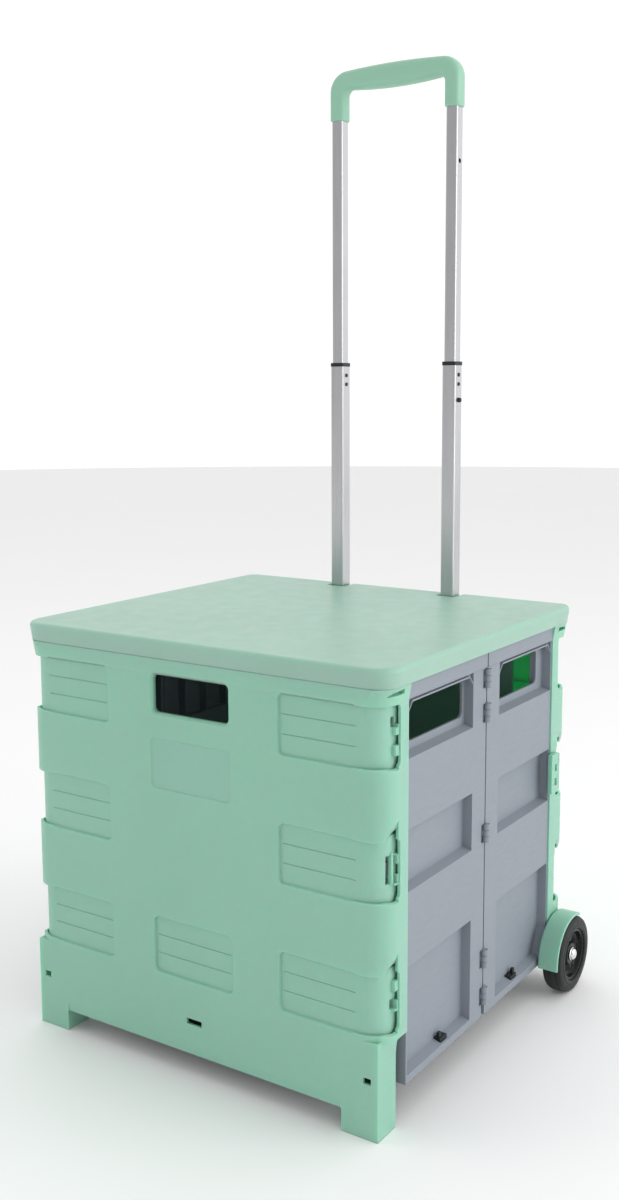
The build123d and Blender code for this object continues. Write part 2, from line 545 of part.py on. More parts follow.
def fender():
    """The right-hand wheel housing: a sector of a drum over the front and top of the wheel."""
    inner = WHEEL_RADIUS + FENDER_GAP
    outer = inner + FENDER_WALL
    drum = bar_x(outer, (FENDER_PLATE[0], WHEEL_OUTER_X - FENDER_INSET), WHEEL_Y, WHEEL_RADIUS)
    drum = fillet(drum.edges().sort_by(Axis.X)[:1], FENDER_EDGE)
    drum -= bar_x(inner, (FENDER_PLATE[1], WHEEL_OUTER_X), WHEEL_Y, WHEEL_RADIUS)
    arm = 2 * outer
    steps = 6
    points = [(0, 0)]
    for index in range(steps + 1):
        angle = math.radians(FENDER_START + (FENDER_END - FENDER_START) * index / steps)
        points.append((-arm * math.cos(angle), arm * math.sin(angle)))
    sector = Pos(0, WHEEL_Y, WHEEL_RADIUS) * prism_x(points, (0, WHEEL_OUTER_X + 20))
    web_y = (BODY_DEPTH - TRAY_DEPTH + 1, BODY_DEPTH - REAR_CORNER_RADIUS)
    return (drum & sector) + block((BAND - 1, FENDER_PLATE[1]), web_y, FENDER_WEB)


def latch_ears():
    """The two ears of the right-hand latch, on the side of the rear tray."""
    x, y = LATCH_PIVOT
    ears = []
    near, far = LATCH_EAR
    for z in ((LATCH_Z[0] + near, LATCH_Z[0] + far), (LATCH_Z[1] - far, LATCH_Z[1] - near)):
        ear = block((BAND - 1, x), widened((y, y), LATCH_KNUCKLE_RADIUS), z)
        ears.append(pierced(ear + post(LATCH_KNUCKLE_RADIUS, x, y, z), LATCH_PIN_RADIUS, x, y, z))
    return ears


def rear_ribs(bottom):
    """Stiffening ribs behind the rear wall, on the right, clear of the handle tubes and the boxes' ends."""
    places = (PANEL_HALF * 0.65, BOX_INNER_X + 11.0, BOX_INNER_X + 41.0)
    return [block((x - 1, x + 1), (WALL / 2, 8), (bottom, RIM_TOP - 5)) for x in places]


def rear_panel():
    bottom = FLOOR_TOP + UNDER_TRAY_GAP
    box_back, cuts = low_middle_box()
    adds = [box_back, *with_twins(corner_lugs())]
    tray = to_rear((tray_shell(bottom, REAR_CORNER_RADIUS, rear_ribs(bottom)) + adds) - cuts)
    # wheel boss, floor ledge and wheel housing of the right-hand side
    boss = bar_x(BOSS_RADIUS, (CORNER_PIN_X + 1, FENDER_PLATE[1]), WHEEL_Y, WHEEL_RADIUS)
    ledge_y = (FLOOR_END + 3 - LEDGE_LENGTH, FLOOR_END + 3)
    ledge_top = FLOOR_TOP - FLOOR_THICKNESS - LEDGE_GAP
    ledge = block((FLOOR_HALF + 2, SIDE_OUT - 1), ledge_y, (LEDGE_BOTTOM, WHEEL_RADIUS))
    ledge += block((FLOOR_HALF - 10, SIDE_OUT - 1), ledge_y, (LEDGE_BOTTOM, ledge_top))
    head_room = bar_x(AXLE_HEAD_RADIUS + AXLE_HEAD_GAP, (0, CORNER_PIN_X + 1), WHEEL_Y, WHEEL_RADIUS)
    axle_hole = bar_x(AXLE_RADIUS + PIN_CLEARANCE, (0, FAR), WHEEL_Y, WHEEL_RADIUS)
    right = (fender() + boss + ledge) - [head_room, axle_hole]
    holes = [bar_x(AXLE_RADIUS + PIN_CLEARANCE, (FLOOR_HALF, FAR), WHEEL_Y, WHEEL_RADIUS)]
    screw_y = (BODY_DEPTH - WALL - 3, BODY_DEPTH + 1)
    screw_holes = [bar_y(SCREW_RADIUS + 0.1, x, screw_y, z) for x, z in clamp_places()]
    return (tray + with_twins([right, *latch_ears()])) - (with_twins(holes) + screw_holes)


def latch():
    """The right-hand latch plate, closed along the side."""
    x, y = LATCH_PIVOT
    inner = BAND + 0.8
    outer = inner + LATCH_THICKNESS
    edge = y - 4 - LATCH_REACH
    plate = block((inner, outer), (edge, y - LATCH_KNUCKLE_RADIUS - 0.6), LATCH_Z)
    plate = fillet(plate.edges().filter_by(Axis.X), 2.0)
    knuckle_z = widened(LATCH_Z, -LATCH_EAR[1] - KNUCKLE_GAP)
    plate += block((inner, outer), (y - 6, y), knuckle_z) + post(LATCH_KNUCKLE_RADIUS, x, y, knuckle_z)
    plate -= post(LATCH_PIN_RADIUS + PIN_CLEARANCE, x, y, widened(LATCH_Z, 1))
    hole_y = [edge + back for back in LATCH_HOLE_Y]
    for low, high in LATCH_HOLES:
        hole_z = (LATCH_Z[0] + low, LATCH_Z[0] + high)
        plate -= block((outer - LATCH_HOLE_DEPTH, outer + 1), hole_y, hole_z)
    return plate


def latch_pin():
    return post(LATCH_PIN_RADIUS, *LATCH_PIVOT, widened(LATCH_Z, -2))


# ---- folding side walls -----------------------------------------------------------------------------
def side_recess(y, z, draft):
    """A recess in the outer face of a side wall, with a sloping lower wall."""
    beyond = 5.0
    out = SIDE_OUT + beyond
    low = z[0] - beyond * draft / (SIDE_OUT - SIDE_DEEP)
    return prism_y([(SIDE_DEEP, z[0] + draft), (out, low), (out, z[1]), (SIDE_DEEP, z[1])], y)


def window(y, z):
    size = (y[1] - y[0], z[1] - z[0])
    outline = Plane.YZ * Pos(sum(y) / 2, sum(z) / 2) * RectangleRounded(*size, WINDOW_CORNER)
    return extrude(outline, SIDE_OUT + 5)


def front_half_right():
    """The right side wall's front half. The other three are its mirror images, apart from their knuckles."""
    y = (TRAY_DEPTH + SIDE_GAP, MID_Y - MID_GAP / 2)
    whole = block((SIDE_IN, SIDE_OUT), y, (SIDE_BOTTOM, SIDE_TOP))
    inside = (SIDE_IN - 1, SIDE_OUT - SIDE_SKIN)
    hollow_z = (SIDE_BOTTOM + SIDE_EDGE, SIDE_TOP - SIDE_EDGE)
    wall = whole - block(inside, widened(y, -SIDE_EDGE), hollow_z)
    box_y = (y[0] + SIDE_BOX_START, y[1] - SIDE_BOX_END)
    boxes = (SIDE_WINDOW_BOX_Z, SIDE_MID_BOX_Z, SIDE_LOW_BOX_Z)
    around = widened(box_y, SIDE_SKIN)
    adds = [whole & block(inside, around, widened(z, SIDE_SKIN)) for z in boxes]
    adds.append(block((SIDE_IN, SIDE_OUT), around, (SIDE_WINDOW_BOX_Z[1] - 1, SIDE_TOP)) & whole)
    # ribs behind the skin, between the boxes
    rib_x = (SIDE_IN, SIDE_OUT - 1)
    for share in (0.25, 0.5, 0.75):
        rib_y = widened((y[0] + (y[1] - y[0]) * share,) * 2, 1.0)
        adds.append(block(rib_x, rib_y, (SIDE_MID_BOX_Z[1], SIDE_WINDOW_BOX_Z[0])))
        adds.append(block(rib_x, rib_y, (SIDE_LOW_BOX_Z[1], SIDE_MID_BOX_Z[0])))
    cuts = [side_recess(box_y, z, SIDE_BOX_DRAFT) for z in boxes]
    cuts.append(window((box_y[0] + WINDOW_ENDS[0], box_y[1] - WINDOW_ENDS[1]), WINDOW_Z))
    cuts.append(tab_slot(MID_Y - TAB_FROM_MIDDLE))
    wall = (wall + adds) - cuts
    # top rim, a little proud, with the finger lip under it
    rim = block((SIDE_OUT - 1, SIDE_OUT + SIDE_RIM_PROUD), y, (SIDE_TOP - SIDE_RIM_HEIGHT, SIDE_TOP))
    # stile that carries the corner hinge
    stile_x = (SIDE_IN + 0.5 - STILE_THICKNESS, SIDE_IN + 0.5)
    start = CORNER_PIN_Y + CORNER_KNUCKLE_RADIUS + 0.75
    late = [rim, finger_lip(box_y), block(stile_x, (start, start + STILE_DEPTH), STILE_Z)]
    for row in CORNER_HINGE_ROWS:
        z = hinge_segments(row, CORNER_KNUCKLE_HEIGHT)[1]
        knuckle = post(CORNER_KNUCKLE_RADIUS, CORNER_PIN_X, CORNER_PIN_Y, z)
        knuckle += block((stile_x[0], stile_x[0] + 4), (CORNER_PIN_Y, start + 1), z)
        late.append(pierced(knuckle, PIN_RADIUS, CORNER_PIN_X, CORNER_PIN_Y, z))
    return wall + late


def tab_z():
    low = SIDE_BOTTOM + TAB_RISE
    return (low, low + TAB_SIZE[1])


def tab_slot(y):
    gap = 0.1
    along = widened((y, y), TAB_SIZE[0] / 2 + gap)
    return block((SIDE_IN - 1, SIDE_OUT - 2), along, widened(tab_z(), gap))


def finger_lip(box_y):
    """The lip under the top rim, bent down at both ends, with a bead along its edge."""
    top = SIDE_TOP - SIDE_RIM_HEIGHT
    low, high = box_y
    under = [(low, top - 12), (low + 7, top - 4), (high - 7, top - 4), (high, top - 12)]
    over = [(high + 0.5, top - 12), (high + 0.5, top + 1), (low - 0.5, top + 1), (low - 0.5, top - 12)]
    bead = under + [(y, z + LIP_BEAD) for y, z in reversed(under)]
    return prism_x(under + over, (SIDE_OUT - 4.5, SIDE_OUT - 3.0)) + prism_x(bead, (SIDE_OUT - 4, SIDE_OUT))


def wheel_corner():
    """Fills the lower rear corner of the low recess, beside the right-hand wheel."""
    along, up = SIDE_BOX_CUT_CORNER
    rear = BODY_DEPTH - TRAY_DEPTH - SIDE_GAP - SIDE_BOX_START + 0.5
    low = SIDE_LOW_BOX_Z[0] - 0.5
    return prism_x([(rear - along, low), (rear, low), (rear, low + up)], (SIDE_DEEP - 0.5, SIDE_OUT))


def mid_knuckles(wall, own, other):
    """Adds a half's own knuckles along the middle hinge and clears the room of the other half's."""
    room, knuckles, holes = [], [], []
    groove_x = (SIDE_OUT - MID_GROOVE_DEPTH, SIDE_OUT + 1)
    groove_y = [MID_Y - ahead for ahead in MID_GROOVE]
    notch_y = (MID_Y - MID_FOOT_NOTCH[0], MID_Y + MID_FOOT_NOTCH[1])
    notch_top = MID_HINGE_ROWS[-1] - MID_KNUCKLE_HEIGHT / 2 - 0.3
    room.append(block((SIDE_IN - 1, SIDE_OUT + 1), notch_y, (SIDE_BOTTOM - 1, notch_top)))
    for row in MID_HINGE_ROWS:
        segments = hinge_segments(row, MID_KNUCKLE_HEIGHT)
        room.append(block(groove_x, groove_y, (segments[0][0], segments[2][1])))
        for index in other:
            z = widened(segments[index], KNUCKLE_GAP)
            room.append(post(MID_KNUCKLE_RADIUS + 0.5, MID_PIN_X, MID_Y, z))
        knuckles += [post(MID_KNUCKLE_RADIUS, MID_PIN_X, MID_Y, segments[index]) for index in own]
        height = widened((row, row), MID_KNUCKLE_HEIGHT / 2 + 0.3)
        holes.append(post(PIN_RADIUS + PIN_CLEARANCE, MID_PIN_X, MID_Y, height))
    return ((wall - room) + knuckles) - holes


def hinge_pins(x, y, rows, height):
    return [post(PIN_RADIUS, x, y, (row - height / 2, row + height / 2)) for row in rows]


def side_tab(y):
    """A locating tab that stands through the foot of a side wall, with its small upright hook."""
    low, high = tab_z()
    half = TAB_SIZE[0] / 2
    tab = block((SIDE_IN + 0.5, SIDE_OUT - 2.5), (y - half, y + half), (low, high))
    return tab + block((SIDE_OUT - 7, SIDE_OUT - 4), (y - half + 1, y - half + 5), (high - 1, high + 5))


# ---- floor ------------------------------------------------------------------------------------------
def floor_panel():
    z = (FLOOR_TOP - FLOOR_THICKNESS, FLOOR_TOP)
    board = block((-FLOOR_HALF, FLOOR_HALF), (FLOOR_HINGE_Y + 8, FLOOR_END), z)
    board = fillet(board.edges().filter_by(Axis.Z).sort_by(Axis.Y)[-2:], FLOOR_CORNER)
    half = FLOOR_RIB_THICKNESS / 2
    rib_half = FLOOR_HALF - FLOOR_HINGE_INSET
    rib_z = (z[0] - FLOOR_RIB, z[1] - 1)
    rib_span = (40.0, FLOOR_END - 20)
    for index in range(FLOOR_RIBS):
        share = index / (FLOOR_RIBS - 1)
        x = rib_half * (2 * share - 1)
        y = rib_span[0] + (rib_span[1] - rib_span[0]) * share
        board += block((x - half, x + half), rib_span, rib_z)
        board += block((-rib_half, rib_half), (y - half, y + half), rib_z)
    for x in FLOOR_HINGE_X:
        for middle in (-x, x):
            barrel_x = widened((middle, middle), FLOOR_LUG_LENGTH - FLOOR_EAR / 2)
            barrel = bar_x(FLOOR_BARREL_RADIUS, barrel_x, FLOOR_HINGE_Y, FLOOR_HINGE_Z)
            barrel += block(barrel_x, (FLOOR_HINGE_Y, FLOOR_HINGE_Y + 9), z)
            hole = bar_x(PIN_RADIUS + PIN_CLEARANCE, widened(barrel_x, 1), FLOOR_HINGE_Y, FLOOR_HINGE_Z)
            board += barrel - hole
    return board


def floor_hinge_pins():
    pins = []
    for x in FLOOR_HINGE_X:
        for middle in (-x, x):
            length = widened((middle, middle), FLOOR_LUG_LENGTH + 3)
            pins.append(bar_x(PIN_RADIUS, length, FLOOR_HINGE_Y, FLOOR_HINGE_Z))
    return pins


# ---- lid --------------------------------------------------------------------------------------------
def lid_outline(inset, z, height):
    y = (-LID_FRONT_OVERHANG + inset, BODY_DEPTH + LID_REAR_OVERHANG - inset)
    outline = Pos(0, sum(y) / 2, z) * Rectangle(2 * (LID_HALF - inset), y[1] - y[0])
    outline = fillet(outline.vertices().sort_by(Axis.Y)[:2], LID_CORNER - inset)
    outline = fillet(outline.vertices().sort_by(Axis.Y)[-2:], LID_REAR_CORNER - inset)
    return extrude(outline, -height, taper=LID_DRAFT)


def lid_notch(margin):
    half = MIDDLE_TUBE[0] / 2 + NOTCH_CLEARANCE + margin
    front = TUBE_Y - MIDDLE_TUBE[1] / 2 - NOTCH_CLEARANCE - margin
    notch = block((TUBE_X - half, TUBE_X + half), (front, BODY_DEPTH + 20), (LID_BOTTOM - 5, LID_TOP + 5))
    return notch + left_of(notch)


def lid():
    body = lid_outline(0, LID_TOP, LID_TOP - LID_BOTTOM)
    body = fillet(body.faces().sort_by(Axis.Z)[-1].edges(), LID_EDGE)
    hollow = lid_outline(LID_SHELL, LID_TOP - LID_SHELL, LID_TOP - LID_BOTTOM) - lid_notch(LID_SHELL)
    body -= hollow
    rib_z = (LID_BOTTOM + 6, LID_TOP - LID_SHELL / 2)
    inside = lid_outline(LID_SHELL / 2, LID_TOP - LID_SHELL / 2, LID_TOP - LID_BOTTOM)
    half = LID_RIB_THICKNESS / 2
    for index in range(1, LID_RIBS + 1):
        share = index / (LID_RIBS + 1)
        x, y = LID_HALF * (2 * share - 1), BODY_DEPTH * share
        body += block((x - half, x + half), (-5, BODY_DEPTH + 5), rib_z) & inside
        body += block((-LID_HALF, LID_HALF), (y - half, y + half), rib_z) & inside
    return body - lid_notch(0)


# ---- handle -----------------------------------------------------------------------------------------
def square_bar(size, z, radius):
    outline = RectangleRounded(size[0], size[1], radius)
    return Pos(TUBE_X, TUBE_Y, z[0]) * extrude(outline, z[1] - z[0])


def shrink(size, amount):
    return tuple(side - 2 * amount for side in size)


def tube(size, z):
    bore = square_bar(shrink(size, TUBE_WALL), widened(z, 1), TUBE_RADIUS - TUBE_WALL)
    return square_bar(size, z, TUBE_RADIUS) - bore


def outer_tube():
    return tube(OUTER_TUBE, OUTER_TUBE_Z)


def middle_tube():
    """The right-hand middle tube, with the holes of its rivets and of its release button."""
    shape = tube(MIDDLE_TUBE, MIDDLE_TUBE_Z)
    for place in rivet_places():
        shape -= bar_x(RIVET_RADIUS + PIN_CLEARANCE, (TUBE_X - 20, TUBE_X + 20), TUBE_Y, place)
    return shape - bar_x(BUTTON_RADIUS + 0.1, (TUBE_X, TUBE_X + 20), TUBE_Y, BUTTON_Z)


def inner_tube():
    """The right-hand inner tube, drilled for the button both drawn out and pushed in."""
    shape = tube(INNER_TUBE, INNER_TUBE_Z)
    for z in (BUTTON_Z, BUTTON_Z + TUBE_STROKE):
        shape -= bar_x(BUTTON_RADIUS + 0.1, (TUBE_X, TUBE_X + 20), TUBE_Y, z)
    return shape


def rivet_places():
    return [MIDDLE_TUBE_Z[1] - drop for drop in RIVET_DROP]


def rivets():
    """The rivets of the right-hand tube, two on each of its side faces."""
    found = []
    face = MIDDLE_TUBE[0] / 2
    for place in rivet_places():
        for side in (-1, 1):
            under_head = TUBE_X + side * face
            shank = (TUBE_X + side * (face - TUBE_WALL + 0.05), under_head)
            head = bar_x(RIVET_HEAD[0], (under_head, under_head + side * RIVET_HEAD[1]), TUBE_Y, place)
            found.append(bar_x(RIVET_RADIUS, shank, TUBE_Y, place) + head)
    return found


def release_button():
    inner = TUBE_X + INNER_TUBE[0] / 2 + 0.1
    outer = TUBE_X + MIDDLE_TUBE[0] / 2 + BUTTON_PROUD
    button = bar_x(BUTTON_RADIUS, (inner, outer), TUBE_Y, BUTTON_Z)
    return fillet(button.edges().sort_by(Axis.X)[-1:], 1.0)


def ring(size, hole, z):
    return square_bar(size, z, 2.6) - square_bar(hole, widened(z, 1), 2.0)


def collar(tube_size, passing, top):
    """A plastic collar on the top of a tube, just clear of the tube that slides in it."""
    return ring(shrink(tube_size, -0.5), shrink(passing, -0.2), (top, top + COLLAR_HEIGHT))


def glide(size, bottom):
    """A plastic foot that guides the lower end of a tube inside the next one."""
    return square_bar(shrink(size, -0.2), (bottom - GLIDE_HEIGHT, bottom), 2.0)


def handle_grip():
    """The U-shaped grip over the ends of both inner tubes."""
    leg = shrink(INNER_TUBE, -GRIP_WALL)
    half = TUBE_X + leg[0] / 2
    depth = leg[1]
    outline = Pos(0, (GRIP_TOP + GRIP_BOTTOM) / 2) * Rectangle(2 * half, GRIP_HEIGHT)
    gap_top, gap_low = GRIP_TOP - GRIP_BAR_HEIGHT, GRIP_BOTTOM - 10
    gap_half = TUBE_X - leg[0] / 2
    gap = Pos(0, (gap_top + gap_low) / 2) * Rectangle(2 * gap_half, gap_top - gap_low)
    face = fillet(outline.vertices().sort_by(Axis.Y)[-2:], GRIP_CORNER)
    face -= fillet(gap.vertices().sort_by(Axis.Y)[-2:], GRIP_INNER_CORNER)
    body = Pos(0, TUBE_Y + depth / 2, 0) * extrude(Plane.XZ * face, depth)
    # the bar swells into an oval for the fingers
    below, ahead = GRIP_BULGE
    oval = Ellipse(GRIP_BAR_HEIGHT / 2 + below, depth / 2 + ahead)
    place = Pos(0, TUBE_Y, GRIP_TOP - GRIP_BAR_HEIGHT / 2 - 2) * Rot(0, 90, 0)
    bar = place * extrude(oval, gap_half, both=True)
    body += bar & block((-half, half), (TUBE_Y - 40, TUBE_Y + 40), (GRIP_BOTTOM, GRIP_TOP))
    socket = square_bar(shrink(INNER_TUBE, -0.05), (GRIP_BOTTOM - 1, INNER_TUBE_Z[1] + 0.1), TUBE_RADIUS)
    return body - socket - left_of(socket)


def clamp_places():
    """Where the screws of the tube clamps go through the rear wall: x and z of each."""
    low, high = CLAMP_FROM_ENDS
    heights = (OUTER_TUBE_Z[0] + low, OUTER_TUBE_Z[1] - high)
    return [(side * TUBE_X, z) for side in (-1, 1) for z in heights]


def tube_clamps():
    """Blocks behind the inner panel that hold the outer tubes against the rear wall."""
    found = []
    rear = BODY_DEPTH - WALL
    for x, z in clamp_places():
        across = widened((x, x), OUTER_TUBE[0] / 2 + CLAMP_MARGIN)
        clamp = block(across, (INNER_PANEL_Y[1] + 0.3, rear), widened((z, z), CLAMP_HEIGHT / 2))
        bore = square_bar(shrink(OUTER_TUBE, -0.05), widened((z, z), CLAMP_HEIGHT), TUBE_RADIUS)
        screw_hole = bar_y(SCREW_RADIUS + 0.1, x, (TUBE_Y, rear + 1), z)
        found.append(clamp - [bore if x > 0 else left_of(bore), screw_hole])
    return found


def clamp_screws():
    """Pan-head screws through the rear wall."""
    found = []
    outside = BODY_DEPTH
    deep = TUBE_Y + OUTER_TUBE[1] / 2 + TUBE_CLEARANCE
    for x, z in clamp_places():
        head = bar_y(SCREW_HEAD[0], x, (outside, outside + SCREW_HEAD[1]), z)
        found.append(bar_y(SCREW_RADIUS, x, (deep, outside), z) + head)
    return found


def inner_panel():
    """The flat panel that closes the rear tray over the outer tubes."""
    half = CORNER_PIN_X - INNER_PANEL_INSET
    return block((-half, half), INNER_PANEL_Y, (FLOOR_TOP + 12, RIM_BAND_BOTTOM + 4))


# ---- wheels -----------------------------------------------------------------------------------------
def turned(points):
    """A solid turned about the right-hand wheel's axis from points of (x, radius)."""
    profile = Plane.XY * Polygon(*points, align=None)
    solid = revolve(profile, Axis.X, 360)
    return Pos(0, WHEEL_Y, WHEEL_RADIUS) * solid


def tyre():
    inner, outer = WHEEL_INNER_X, WHEEL_OUTER_X
    r, bore, edge = WHEEL_RADIUS, TYRE_BORE_RADIUS, TYRE_EDGE
    soft = edge * 0.3
    points = [(inner + 1, bore), (outer - 1, bore), (outer, bore + 3), (outer, r - edge)]
    points += [(outer - soft, r - soft), (outer - edge, r), (inner + edge, r), (inner + soft, r - soft)]
    points += [(inner, r - edge), (inner, bore + 3)]
    return turned(points)


def hub():
    """A dished hub with a ring round its cap."""
    inner, outer = WHEEL_INNER_X, WHEEL_OUTER_X
    bore, rim = AXLE_RADIUS + PIN_CLEARANCE, TYRE_BORE_RADIUS
    seat, dish = outer - 5, outer - 9
    points = [(inner + 0.5, bore), (seat, bore), (seat, 11), (dish, 14), (dish, rim - 6)]
    points += [(outer - 2, rim - 3), (outer - 2, rim), (inner + 2, rim), (inner + 2, rim - 3)]
    points += [(inner + 8, rim - 5), (inner + 8, 12), (inner + 0.5, 10)]
    return turned(points)


def axle_stub():
    """The bolt that carries a wheel, headed inside the boss."""
    head = bar_x(AXLE_HEAD_RADIUS, (CORNER_PIN_X - 2, CORNER_PIN_X + 0.9), WHEEL_Y, WHEEL_RADIUS)
    return head + bar_x(AXLE_RADIUS, (CORNER_PIN_X, WHEEL_OUTER_X - 3.5), WHEEL_Y, WHEEL_RADIUS)


def axle_cap():
    """The rounded push-on cap on the end of the axle."""
    start = WHEEL_OUTER_X - 4.9
    profile = ((0, 0), (0, 7.0), (2.5, 6.6), (4.4, 5.0), (5.2, 2.6), (5.4, 0))
    bore = bar_x(AXLE_RADIUS + 0.02, (start - 1, WHEEL_OUTER_X - 3.4), WHEEL_Y, WHEEL_RADIUS)
    return turned([(start + along, radius) for along, radius in profile]) - bore


def washer():
    x = (FENDER_PLATE[1] + 0.05, WHEEL_INNER_X + 0.45)
    disc = bar_x(WASHER_RADIUS, x, WHEEL_Y, WHEEL_RADIUS)
    return disc - bar_x(AXLE_RADIUS + PIN_CLEARANCE, widened(x, 1), WHEEL_Y, WHEEL_RADIUS)


# ---- all nodes --------------------------------------------------------------------------------------
def pair(name, shape):
    """Writes a right-hand node and its left-hand twin."""
    save(f"{name}_right", shape)
    save(f"{name}_left", left_of(shape))


def main():
    save("front_panel", front_panel())
    save("rear_panel", rear_panel())
    half = front_half_right()
    pair("side_front", mid_knuckles(half, (1,), (0, 2)))
    pair("side_rear", mid_knuckles(to_rear(half) + wheel_corner(), (0, 2), (1,)))
    mid_pins = hinge_pins(MID_PIN_X, MID_Y, MID_HINGE_ROWS, MID_KNUCKLE_HEIGHT)
    pair("mid_hinge_pins", Compound(children=mid_pins))
    corner_pins = hinge_pins(CORNER_PIN_X, CORNER_PIN_Y, CORNER_HINGE_ROWS, CORNER_KNUCKLE_HEIGHT)
    corner = Compound(children=corner_pins)
    save("front_hinge_pins", corner, left_of(corner))
    save("rear_hinge_pins", to_rear(corner), left_of(to_rear(corner)))
    tab = side_tab(MID_Y - TAB_FROM_MIDDLE)
    pair("side_tab_front", tab)
    pair("side_tab_rear", to_rear(tab))
    save("floor_panel", floor_panel())
    save("floor_hinge_pins", *floor_hinge_pins())
    save("lid", lid())
    pair("latch", latch())
    save("latch_pins", latch_pin(), left_of(latch_pin()))
    save("rear_inner_panel", inner_panel())
    pair("outer_tube", outer_tube())
    pair("middle_tube", middle_tube())
    pair("inner_tube", inner_tube())
    outer_collar = collar(OUTER_TUBE, MIDDLE_TUBE, OUTER_TUBE_Z[1])
    save("outer_collars", outer_collar, left_of(outer_collar))
    middle_collar = collar(MIDDLE_TUBE, INNER_TUBE, MIDDLE_TUBE_Z[1])
    save("middle_collars", middle_collar, left_of(middle_collar))
    middle_glide = glide(MIDDLE_TUBE, MIDDLE_TUBE_Z[0])
    save("middle_glides", middle_glide, left_of(middle_glide))
    inner_glide = glide(INNER_TUBE, INNER_TUBE_Z[0])
    save("inner_glides", inner_glide, left_of(inner_glide))
    plug = square_bar(OUTER_TUBE, (OUTER_TUBE_Z[0] - PLUG_HEIGHT, OUTER_TUBE_Z[0]), TUBE_RADIUS)
    save("tube_end_plugs", plug, left_of(plug))
    right_rivets = rivets()
    save("joint_rivets", *right_rivets, *[left_of(rivet) for rivet in right_rivets])
    pair("release_button", release_button())
    save("handle_grip", handle_grip())
    save("tube_clamps", *tube_clamps())
    save("clamp_screws", *clamp_screws())
    pair("wheel_tyre", tyre())
    pair("wheel_hub", hub())
    save("axle_stubs", axle_stub(), left_of(axle_stub()))
    save("axle_caps", axle_cap(), left_of(axle_cap()))
    save("axle_washers", washer(), left_of(washer()))


main()
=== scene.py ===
import json
import math

import bmesh
import bpy
from mathutils import Matrix, Vector


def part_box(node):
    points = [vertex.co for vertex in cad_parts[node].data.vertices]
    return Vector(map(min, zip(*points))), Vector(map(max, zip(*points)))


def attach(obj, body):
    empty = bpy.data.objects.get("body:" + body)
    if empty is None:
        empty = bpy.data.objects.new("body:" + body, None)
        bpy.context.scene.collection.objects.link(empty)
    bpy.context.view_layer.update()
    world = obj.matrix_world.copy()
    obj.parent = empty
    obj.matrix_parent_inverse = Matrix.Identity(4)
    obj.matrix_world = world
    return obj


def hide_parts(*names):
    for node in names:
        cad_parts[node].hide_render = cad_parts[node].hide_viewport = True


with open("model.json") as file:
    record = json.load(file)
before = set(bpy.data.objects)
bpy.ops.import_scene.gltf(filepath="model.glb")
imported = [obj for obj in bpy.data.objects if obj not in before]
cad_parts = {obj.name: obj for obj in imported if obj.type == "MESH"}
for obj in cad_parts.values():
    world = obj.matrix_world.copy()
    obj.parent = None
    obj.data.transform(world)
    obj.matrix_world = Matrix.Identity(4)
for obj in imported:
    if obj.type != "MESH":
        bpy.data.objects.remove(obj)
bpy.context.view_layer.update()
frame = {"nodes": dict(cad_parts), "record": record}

NODES = frame["nodes"]
MM = 0.001

# Camera: the photograph's viewing angle, distance and framing.
CAMERA_AZIMUTH = math.radians(33.16)
CAMERA_ELEVATION = math.radians(7.53)
CAMERA_ROLL = math.radians(-0.14)
CAMERA_DISTANCE = 1.3054
CAMERA_TARGET = Vector((0.0216, 0.0027, 0.4725))
SENSOR = 36.0
LENS = 38.77
SHIFT = (-0.0167, -0.0370)

# Colours are linear RGB.
MINT = (0.275, 0.540, 0.410)
MINT_LID = (0.310, 0.515, 0.410)
MINT_GRIP = (0.285, 0.530, 0.390)
GREY = (0.245, 0.275, 0.315)
CHARCOAL = (0.040, 0.044, 0.046)
NEAR_BLACK = (0.006, 0.009, 0.009)
RUBBER = (0.007, 0.009, 0.009)
ALUMINIUM = (0.60, 0.60, 0.615)
ZINC = (0.52, 0.52, 0.53)
BLACKENED = (0.05, 0.05, 0.055)
CHROME = (0.80, 0.80, 0.82)


# ---------------------------------------------------------------- node helpers

def add(tree, kind, inputs=None, **settings):
    """A new shader node; inputs are values or the sockets that feed them."""
    made = tree.nodes.new("ShaderNode" + kind)
    for key, value in settings.items():
        setattr(made, key, value)
    for key, value in (inputs or {}).items():
        if isinstance(value, bpy.types.NodeSocket):
            tree.links.new(value, made.inputs[key])
        else:
            made.inputs[key].default_value = value
    return made


def ramp(tree, value, low, high, out_low=0.0, out_high=1.0):
    """value mapped from low..high to out_low..out_high, and held there."""
    sockets = {"Value": value, "From Min": low, "From Max": high,
               "To Min": out_low, "To Max": out_high}
    return add(tree, "MapRange", sockets).outputs[0]


def mixed(tree, factor, first, second):
    """A colour between first and second."""
    return add(tree, "MixRGB", {"Fac": factor, "Color1": first, "Color2": second}).outputs[0]


def rgba(colour, gain=1.0):
    return (*(min(1.0, c * gain) for c in colour), 1.0)


def noise(tree, coords, scale, detail=2.0, stretch=None):
    """Noise in the object's own space, with scale in cells per metre."""
    if stretch:
        coords = add(tree, "Mapping", {"Vector": coords, "Scale": stretch}).outputs[0]
    sockets = {"Vector": coords, "Scale": scale, "Detail": detail}
    return add(tree, "TexNoise", sockets).outputs[0]


def edge_mask(tree, rounded, low, high):
    """1 where the softened normal leaves the true one, so along edges."""
    true_normal = add(tree, "NewGeometry").outputs["Normal"]
    facing = add(tree, "VectorMath", {0: rounded, 1: true_normal}, operation="DOT_PRODUCT")
    return ramp(tree, facing.outputs["Value"], high, low)


def start_material(name):
    """A new material, its tree, its shader and the object coordinates."""
    material = bpy.data.materials.new(name)
    material.use_nodes = True
    tree = material.node_tree
    coords = add(tree, "TexCoord").outputs["Object"]
    return material, tree, tree.nodes["Principled BSDF"], coords


